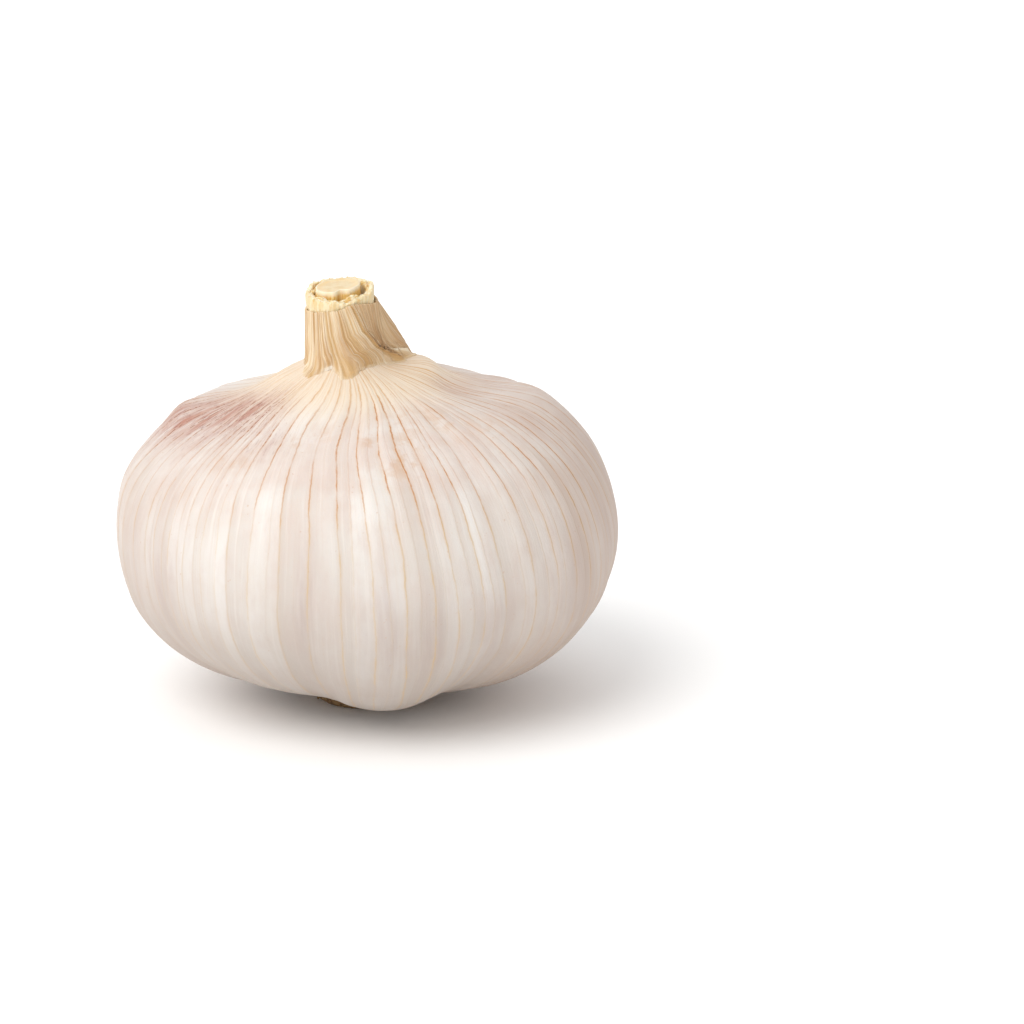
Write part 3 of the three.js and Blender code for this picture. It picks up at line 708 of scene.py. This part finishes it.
def sheathMaterial(name, light, middle, dark, shade):
    # sun-dried leaf base: long stiff fibres with a dull silky sheen, straw between tan strands
    material, tree, shader = newMaterial(name, 0.5, 0.4, 0.08, 0.8)
    fibre, strand, drop = [feed(tree, "attribute", name) for name in ("fibre", "strand", "drop")]
    lengthwise = streaks(tree, 3.6, 0.05, 5, 3.0)
    tint = feed(tree, "blend", feed(tree, "remap", lengthwise, 0.36, 0.62), light, middle)
    # tan where the fibres lie low: partly the fibres' own colour, partly painted shade in the grooves
    # between them
    valley = feed(tree, "multiply", strand, -0.45)
    valley = feed(tree, "add", valley, feed(tree, "multiply", fibre, -0.5))
    tint = feed(tree, "blend", feed(tree, "remap", valley, 0.0, 1.5, 0, 0.6), tint, dark)
    bare = feed(tree, "remap", streaks(tree, 1.1, 0.1, 4, 8.0), 0.42, 0.66, 0, 0.45)
    tint = feed(tree, "blend", bare, tint, shade)
    # golden towards the foot, with pale lines along the fibres: partly their own paler colour, partly
    # painted highlight on their ridges
    tint = feed(tree, "blend", feed(tree, "remap", drop, 0.2, 0.85, 0, 0.35), tint, shade)
    ridge = feed(tree, "remap", streaks(tree, 4.2, 0.06, 4, 14.0), 0.49, 0.63, 0, 0.78)
    tint = feed(tree, "blend", ridge, tint, light)
    # darker in the folds' hollows, painted shade, and lighter on their raised parts, painted highlight
    sunk = feed(tree, "remap", feed(tree, "attribute", "crease"), -0.02, -0.3, 0, 0.8)
    tint = feed(tree, "blend", sunk, tint, dark)
    raised = feed(tree, "remap", feed(tree, "attribute", "crease"), 0.05, 0.25, 0, 0.6)
    tint = feed(tree, "blend", raised, tint, light)
    # the thin end bleaches to the cream of the skin under it, and is whitest where it is shredded
    tint = feed(tree, "blend", feed(tree, "remap", drop, 0.93, 1.02, 0, 0.5), tint, "#e2d0b2")
    shred = feed(tree, "multiply", feed(tree, "attribute", "shred"), 0.8)
    tint = feed(tree, "blend", shred, tint, "#eee5d5")
    tree.links.new(tint, shader.inputs["Base Color"])
    bump(tree, shader, feed(tree, "add", lengthwise, streaks(tree, 8.0, 0.2, 4, 5.0)), 0.09, 0.9)
    return material


frontFolds = [(0.985, 0.0, 0.025, 0.05, 0.1, 0.0), (0.93, -0.07, 0.035, -0.04, -0.11, -0.06),
              (0.77, 0.0, 0.05, -0.05, -0.17, -0.1), (0.62, 0.0, 0.05, 0.0, -0.1, -0.1)]
rearFolds = [(0.3, 0.0, 0.05, 0.0, 0.1, 0.0), (0.2, 0.0, 0.05, 0.0, -0.15, -0.05),
             (0.45, 0.0, 0.06, 0.0, -0.15, -0.05)]
dress(
    makeSheath("frontSheath", sheath["frontFoot"], frontAcross, 340, 80, 21, 0.0, frontFolds),
    sheathMaterial("driedLeafSheath", "#f1e2c7", "#d2b080", "#a06e3a", "#bd8f54"),
    "front_sheath")
# the rear sheath: the same leaf in darker colours, painted shade as it lies further back and turned from the
# light
dress(
    makeSheath("rearSheath", sheath["rearFoot"], rearAcross, 470, 64, 41, sheath["rearInset"], rearFolds),
    sheathMaterial("shadedLeafSheath", "#dcc39f", "#c9a57a", "#956942", "#b1875d"),
    "rear_sheath")


# Torn inner sheath: two ragged rings round the stalk, their torn top highest at the right

innerRing = {
    "axis": (-3.03, -2.0),
    "foot": 41.0,
    "rings": [(3.6, 0.5, 400, 5), (3.12, 0.36, 340, 9)],       # radius, wall, columns, seed
    "height": [(0, 47.2), (40, 47.5), (110, 47.2), (180, 46.6), (270, 46.25), (320, 46.5), (360, 47.2)],
    # how far the second ring stands above the first
    "step": [(0, -0.35), (100, -0.3), (150, -0.1), (200, -0.05), (262, -0.05), (290, 0.25), (325, 0.1),
             (360, -0.35)],
    "lean": 0.28,
    "wallRows": 9,
    "rimRows": 11,
    "mapRadius": 3.2,          # mm, and mm from row to row, for the map
    "mapStep": 0.6,
}


def makeInnerRing():
    # section: straight up the outside, half a turn over the torn rim, straight down the inside
    pieces = []
    up = np.linspace(0, 0.94, innerRing["wallRows"])
    halfTurn = np.linspace(0, np.pi, innerRing["rimRows"])
    inward = np.concatenate([0 * up, (1 - np.cos(halfTurn)) / 2, 0 * up + 1])[:, None]
    rise = np.concatenate([up, 0.96 + 0.03 * np.sin(halfTurn), up[::-1]])[:, None]
    onRim = smoothstep(rise, 0.9, 0.96)
    for index, (radius, wall, columns, seed) in enumerate(innerRing["rings"]):
        angle = np.linspace(0, 360, columns, endpoint=False)
        torn = 0.1 * softNoise(seed, columns, 10) + 0.06 * softNoise(seed + 1, columns, 2.6)
        top = between(innerRing["height"], angle, 1) + torn
        if index:
            top = top + between(innerRing["step"], angle, 1)
        rng = np.random.default_rng(seed)
        crumbs = rng.normal(size=(2, len(rise), columns))
        crumbs = crumbs + 0.6 * np.roll(crumbs, 1, axis=2) + 0.6 * np.roll(crumbs, -1, axis=2)
        ripple = 0.035 * softNoise(seed + 2, columns, 7) + 0.03 * softNoise(seed + 3, columns, 1.6)
        height = innerRing["foot"] + (top - innerRing["foot"]) * rise
        r = radius - wall * inward + ripple + 0.014 * crumbs[0] * onRim
        r = r + innerRing["lean"] * bell(angle, 190, 70) * smoothstep(height, 44.2, 45.4)
        points = onNeck(r, 0, angle[None, :] + 0 * r)
        points[..., 0] += innerRing["axis"][0] - form["neckAxis"][0]
        points[..., 2] = height + 0.03 * crumbs[1] * onRim
        # share of the way over the rim, with the second ring counted as inside all over
        pieces.append((points, np.broadcast_to(np.maximum(inward, index), r.shape)))
    return pieces


def joinRings(name, rings):
    # each ring is a closed tube of sections: rows wrap from the last section point back to the first
    allPoints, allQuads, allUvs, allInside = [], [], [], []
    first = 0
    for points, inside in rings:
        rows, columns = points.shape[:2]
        r, c = np.meshgrid(np.arange(rows), np.arange(columns), indexing="ij")
        nextRow, nextColumn = (r + 1) % rows, (c + 1) % columns
        row, below = r * columns, nextRow * columns
        quads = np.stack([row + c, row + nextColumn, below + nextColumn, below + c], -1)
        allQuads.append(quads.reshape(-1, 4) + first)
        scale = 2 * np.pi * innerRing["mapRadius"] / columns
        corner = np.stack([np.stack([(c + dc) * scale, (r + dr) * innerRing["mapStep"]], -1)
                           for dr, dc in ((0, 0), (0, 1), (1, 1), (1, 0))], -2)
        allUvs.append(corner.reshape(-1, 2))
        allPoints.append(points.reshape(-1, 3))
        allInside.append(inside.ravel())
        first += rows * columns
    quads, noTriangles = np.concatenate(allQuads), np.zeros((0, 3), int)
    inside = {"inside": np.concatenate(allInside)}
    return makeMesh(name, np.concatenate(allPoints), quads, noTriangles, np.concatenate(allUvs), inside)


def innerMaterial():
    # torn fibrous leaf tissue: chalky cream, furry and pale along the break
    material, tree, shader = newMaterial("tornLeafTissue", 0.7, 0.3, 0.18, 0.9)
    inside = feed(tree, "attribute", "inside")
    strands = feed(tree, "remap", streaks(tree, 4.0, 0.5, 4), 0.35, 0.65)
    tint = feed(tree, "blend", strands, "#efe0bf", "#e2c896")
    # golden flesh down the inside, paler crumbs on the rim
    tint = feed(tree, "blend", feed(tree, "remap", inside, 0.75, 1.0, 0, 0.65), tint, "#e2b765")
    pale = feed(tree, "remap", blotches(tree, 0.6, 3), 0.42, 0.58)
    rim = feed(tree, "multiply", feed(tree, "remap", inside, 0.0, 0.3), pale)
    tint = feed(tree, "blend", feed(tree, "multiply", rim, 0.8), tint, "#f5e9cc")
    golden = feed(tree, "remap", blotches(tree, 0.9, 4), 0.56, 0.7, 0, 0.6)
    tint = feed(tree, "blend", golden, tint, "#d6aa62")
    tree.links.new(tint, shader.inputs["Base Color"])
    bump(tree, shader, blotches(tree, 0.25, 5), 0.08, 0.8)
    return material


dress(joinRings("innerSheath", makeInnerRing()), innerMaterial(), "inner_sheath")


# Cut flower stalk

stalk = {
    "axis": (-3.4, -2.0),      # stands a little left in its sheaths
    "radius": 2.5,
    "hiddenRadius": 2.2,
    "dents": [(281, 14, 0.27), (90, 60, 0.05), (196, 25, 0.03)],      # angle, width, share of the radius
    "foot": 34.7,
    "top": 47.25,
    "slope": (0.12, 0.08),     # the cut falls to the left and to the front
    "columns": 160,
}


def makeStalk():
    angle = np.linspace(0, 360, stalk["columns"], endpoint=False)
    rim = 1 - sum(share * bell(angle, centre, width) for centre, width, share in stalk["dents"])
    rim = rim * (1 + 0.008 * softNoise(2, stalk["columns"], 3))
    # rows go up the side, over the rim and in across the face: share of the radius, drop below the cut
    side = [(1.0, drop) for drop in (12.4, 8.0, 6.4, 4, 3, 2.2, 1.6, 1.1, 0.7, 0.4, 0.2)]
    face = [(0.99, 0.07), (0.96, 0.0), (0.9, 0.02), (0.82, 0.08), (0.7, 0.1), (0.56, 0.08), (0.42, 0.11),
            (0.28, 0.1), (0.14, 0.12)]
    share, drop = np.array(side + face).T[:, :, None]
    widest = np.where(drop > 6, stalk["hiddenRadius"], stalk["radius"])
    # thin ridges run up the side, like the strings of a stalk
    ridges = 0.03 * softNoise(4, stalk["columns"], 1.5) * smoothstep(drop, 0.1, 0.5)
    radius = widest * rim * share + ridges
    turn = np.radians(angle)
    centreX = np.where(drop > 6, form["neckAxis"][0], stalk["axis"][0])
    x = centreX + radius * np.cos(turn)
    y = stalk["axis"][1] + radius * np.sin(turn)
    slopeX, slopeY = stalk["slope"]
    cut = stalk["top"] + slopeX * (x - stalk["axis"][0]) + slopeY * (y - stalk["axis"][1])
    upper = 1 - smoothstep(drop, 3, 8)
    z = (cut - stalk["top"]) * upper + stalk["top"] - drop
    points = np.stack([x, y, z], -1)
    wide = np.append(angle, 360)[None, :] * np.pi / 180 * stalk["radius"]
    uv = np.stack(np.broadcast_arrays(wide, -drop), -1)
    attributes = {"fromMiddle": np.broadcast_to(share, x.shape), "drop": np.broadcast_to(drop, x.shape)}
    return roundShell("cutStalk", points, uv, attributes)


def stalkMaterial():
    # fresh cut pith: moist cream face with a pale ring at its edge that is painted highlight, yellow and
    # waxy down the side
    material, tree, shader = newMaterial("cutStalkPith", 0.42, 0.45, 0.25, 1.6)
    drop, fromMiddle = feed(tree, "attribute", "drop"), feed(tree, "attribute", "fromMiddle")
    tint = feed(tree, "blend", feed(tree, "remap", blotches(tree, 0.9), 0.35, 0.7), "#e0cda9", "#d9be8f")
    begin, end = feed(tree, "remap", fromMiddle, 0.55, 0.8), feed(tree, "remap", fromMiddle, 0.95, 0.84)
    ringed = feed(tree, "multiply", feed(tree, "multiply", begin, end), 0.35)
    tint = feed(tree, "blend", ringed, tint, "#eccb93")
    # pale ring at the edge of the cut face: painted highlight
    tint = feed(tree, "blend", feed(tree, "remap", fromMiddle, 0.9, 0.97, 0, 0.5), tint, "#f3e8d2")
    down = feed(tree, "remap", drop, 0.25, 0.75)
    yellow = feed(tree, "remap", streaks(tree, 5.0, 0.3, 3), 0.4, 0.65)
    yellow = feed(tree, "blend", yellow, "#ebcd88", "#dca952")
    tint = feed(tree, "blend", down, tint, yellow)
    tree.links.new(tint, shader.inputs["Base Color"])
    bump(tree, shader, blotches(tree, 0.3, 4), 0.04, 0.6)
    return material


dress(makeStalk(), stalkMaterial(), "scape")


# Root plate with its trimmed roots

plate = {
    "radius": 6.9,
    "columns": 180,
    "stubs": 90,
    "stubInset": 1.4,          # mm in from the disc's edge, where a stub starts
    "seed": 23,
}


def makePlate():
    angle = np.linspace(0, 360, plate["columns"], endpoint=False)
    rough = 0.06 * softNoise(3, plate["columns"], 2)
    profile = np.array([(1.0, 0.0), (3.0, 0.0), (5.0, 0.0), (6.0, 0.0), (6.35, 0.08), (6.7, 0.35),
                        (6.85, 0.62), (6.9, 0.9), (6.8, 1.25), (6.6, 1.6), (6.3, 1.9), (6.1, 2.2),
                        (4.0, 2.2), (1.0, 2.2)])
    radius, height = profile[:, 0:1], profile[:, 1:2]
    rng = np.random.default_rng(plate["seed"])
    grit = 0.05 * rng.normal(size=(len(profile), plate["columns"])) * smoothstep(radius, 5.9, 6.5)
    r = radius + rough * smoothstep(radius, 5.5, 6.6) + grit
    turn = np.radians(angle)
    points = np.stack([r * np.cos(turn), r * np.sin(turn), height + 0 * r], -1)
    wide = np.append(angle, 360)[None, :] * np.pi / 180 * plate["radius"]
    length = np.append(0, np.cumsum(np.linalg.norm(np.diff(profile, axis=0), axis=1)))[:, None]
    uv = np.stack(np.broadcast_arrays(wide, length), -1)
    disc = (points, uv)

    # stubs: tapered tubes whose rings are stations along a slightly bent line, closed by a point at each end
    sides, stations = 7, 6
    allPoints, allTriangles = [], []
    around = np.arange(sides) * 2 * np.pi / sides
    s = np.linspace(0, 1, stations)
    for index in range(plate["stubs"]):
        turnTo = 2 * np.pi * (index + rng.uniform(-0.3, 0.3)) / plate["stubs"]
        length = rng.uniform(1.0, 1.7)
        start = plate["radius"] - plate["stubInset"]
        z = rng.uniform(0.45, 1.1)
        thick = rng.uniform(0.18, 0.3)
        bend = rng.uniform(-0.25, 0.25)
        outward = np.array([np.cos(turnTo), np.sin(turnTo), 0])
        sideways = np.array([-np.sin(turnTo), np.cos(turnTo), 0])
        up = np.array([0, 0, 1.0])
        centre = outward * (start + length * s)[:, None] + sideways * (bend * s ** 2)[:, None]
        centre = centre + up * (z - 0.25 * s ** 2)[:, None]
        ring = sideways * np.cos(around)[:, None] + up * np.sin(around)[:, None]
        wide = thick * (1 - 0.35 * s)
        tube = centre[:, None, :] + ring[None] * wide[:, None, None]
        first = sum(len(p) for p in allPoints)
        allPoints.append(np.concatenate([tube.reshape(-1, 3), centre[:1], centre[-1:]]))
        r, c = np.meshgrid(np.arange(stations - 1), np.arange(sides), indexing="ij")
        nextSide = (c + 1) % sides
        a, b = r * sides + c, r * sides + nextSide
        halves = np.stack([a, b, b + sides], -1), np.stack([a, b + sides, a + sides], -1)
        wall = np.stack(halves, -2).reshape(-1, 3)
        allTriangles.append(np.concatenate([wall, endFans(stations, sides)]) + first)
    return disc, np.concatenate(allPoints), np.concatenate(allTriangles)


def joinPlate():
    (points, uv), stubPoints, stubTriangles = makePlate()
    rows, columns = points.shape[:2]
    quads, corners = gridQuads(rows, columns, True)
    total = rows * columns
    ends = np.stack([points[0].mean(axis=0), points[-1].mean(axis=0)])
    allPoints = np.concatenate([points.reshape(-1, 3), ends, stubPoints])
    triangles = np.concatenate([endFans(rows, columns), stubTriangles + total + len(ends)])
    quadUv = uv.reshape(-1, 2)[corners].reshape(-1, 2)
    triangleUv = allPoints[triangles.ravel()][:, :2]
    uvs = np.concatenate([quadUv, triangleUv])
    isStub = np.concatenate([np.zeros(total + len(ends)), np.ones(len(stubPoints))])
    return makeMesh("rootPlate", allPoints, quads, triangles, uvs, {"isStub": isStub})


def plateMaterial():
    # dried cork and cut root ends: dull, crumbly, grey brown with darker pits; the browns are darker than
    # the cork's own, painted shade for the dark under the bulb
    material, tree, shader = newMaterial("driedRootCork", 0.85, 0.2, 0.0, 0.5)
    tint = feed(tree, "blend", feed(tree, "remap", blotches(tree, 1.2, 5), 0.35, 0.65), "#a5845d", "#7c5f42")
    pits = feed(tree, "remap", blotches(tree, 0.4, 4), 0.5, 0.65, 0, 0.7)
    tint = feed(tree, "blend", pits, tint, "#5f4630")
    stub = feed(tree, "multiply", feed(tree, "attribute", "isStub"), 0.5)
    tint = feed(tree, "blend", stub, tint, "#b3946a")
    tree.links.new(tint, shader.inputs["Base Color"])
    bump(tree, shader, blotches(tree, 0.5, 6), 0.35, 0.9)
    return material


dress(joinPlate(), plateMaterial(), "root_plate")


# Camera, floor and light

studio = {
    "cameraPlace": (0.015565, -0.484341, 0.159851),
    "cameraPitch": 16,          # degrees below the horizon
    "lens": 160,
    "floorSize": 8.0,
    "skyLeft": 1.1,
    "skyRight": 0.73,
    "skyOverhead": 1.05,        # share of the sky's level overhead, and at the horizon
    "skyHorizon": 0.95,
    "sunPower": 1.28,
    "sunWidth": 40,             # degrees across, for soft shadows
    "sunTilt": 42,              # degrees from overhead
    "sunTurn": -38,             # degrees to the left of the camera
}

camera = bpy.data.objects.new("camera", bpy.data.cameras.new("camera"))
camera.location = studio["cameraPlace"]
camera.rotation_euler = (math.radians(90 - studio["cameraPitch"]), 0, 0)
camera.data.lens = studio["lens"]
camera.data.sensor_width = 36
camera.data.clip_start = 0.01
camera.data.clip_end = 50
bpy.context.scene.collection.objects.link(camera)
bpy.context.scene.camera = camera


def makeFloor():
    half = studio["floorSize"] / 2
    mesh = bpy.data.meshes.new("floor")
    corners = [(-half, -half, 0), (half, -half, 0), (half, half, 0), (-half, half, 0)]
    mesh.from_pydata(corners, [], [(0, 1, 2, 3)])
    floor = bpy.data.objects.new("floor", mesh)
    bpy.context.scene.collection.objects.link(floor)
    material = bpy.data.materials.new("whiteSweepPaper")
    material.use_nodes = True
    shader = material.node_tree.nodes["Principled BSDF"]
    shader.inputs["Base Color"].default_value = fromHex("#ffffff")
    shader.inputs["Roughness"].default_value = 0.9
    shader.inputs["Specular IOR Level"].default_value = 0.1
    floor.data.materials.append(material)


def addSky():
    # bright studio room, brightest overhead and dimmer towards the right
    world = bpy.data.worlds.new("studio")
    world.use_nodes = True
    tree = world.node_tree
    background = tree.nodes["Background"]
    direction = addNode(tree, "ShaderNodeTexCoord").outputs["Generated"]
    parts = addNode(tree, "ShaderNodeSeparateXYZ", links={0: direction})
    sideways = feed(tree, "remap", parts.outputs[0], -1, 1, studio["skyLeft"], studio["skyRight"])
    levels = {3: studio["skyHorizon"], 4: studio["skyOverhead"]}
    height = addNode(tree, "ShaderNodeMapRange", levels, {0: parts.outputs[2]})
    level = feed(tree, "multiply", sideways, height.outputs[0])
    background.inputs[0].default_value = fromHex("#ffffff")
    tree.links.new(level, background.inputs[1])
    bpy.context.scene.world = world


def addSun():
    # one wide soft light from the upper left, in front
    light = bpy.data.lights.new("softSun", "SUN")
    light.energy = studio["sunPower"]
    light.angle = math.radians(studio["sunWidth"])
    light.color = fromHex("#fffdfa")[:3]
    sun = bpy.data.objects.new("softSun", light)
    sun.rotation_euler = (math.radians(studio["sunTilt"]), 0, math.radians(studio["sunTurn"]))
    bpy.context.scene.collection.objects.link(sun)


makeFloor()
addSky()
addSun()
bpy.context.scene.view_settings.view_transform = "Standard"
print("camera, floor and light are in place")
